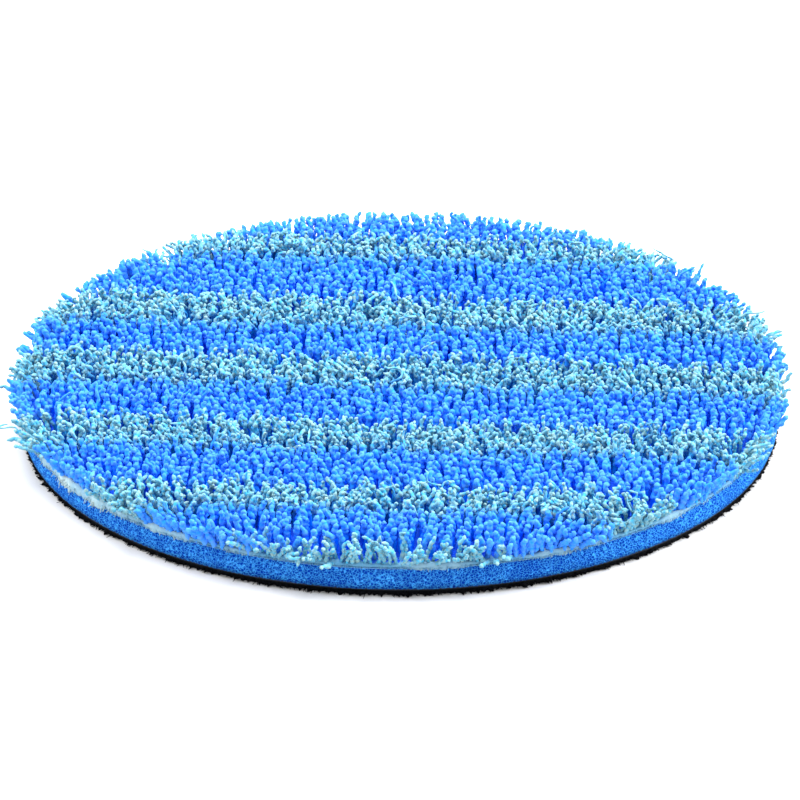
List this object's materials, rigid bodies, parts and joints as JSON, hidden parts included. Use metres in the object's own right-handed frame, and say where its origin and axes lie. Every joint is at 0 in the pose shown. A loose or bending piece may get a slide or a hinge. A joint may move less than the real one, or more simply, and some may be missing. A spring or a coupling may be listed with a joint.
{
  "type": "microfibre polishing pad",
  "caption": "Thin round polishing pad: striped tufted microfibre pile on a foam disc, with a knitted loop backing that grips a hook-faced backing plate.",
  "frame": {"origin": "centre of the loop face, the flat face that the pad rests on and is fastened by", "axes": "+Z from the loop face up through the foam to the pile; the yarn rows and stripes run along X, and the widest stretch of blue next to the rim cap is towards +Y"},
  "size_m": [0.2, 0.2, 0.0167],
  "materials": {
    "blue_yarn": "matte",
    "grey_yarn": "matte",
    "base_knit": "matte",
    "foam": "matte",
    "bond_film": "matte",
    "loop_knit": "matte"
  },
  "bodies": {
    "root": {"loop_pile": "loop_knit", "loop_ground_cloth": "loop_knit", "loop_bond": "bond_film", "foam_disc": "foam", "cloth_bond": "bond_film", "base_cloth": "base_knit", "blue_pile_1": "blue_yarn", "grey_pile_1": "grey_yarn", "blue_pile_2": "blue_yarn", "grey_pile_2": "grey_yarn", "blue_pile_3": "blue_yarn", "grey_pile_3": "grey_yarn", "blue_pile_4": "blue_yarn", "grey_pile_4": "grey_yarn", "blue_pile_5": "blue_yarn", "grey_pile_5": "grey_yarn", "blue_pile_6": "blue_yarn", "grey_pile_6": "grey_yarn"}
  },
  "joints": []
}
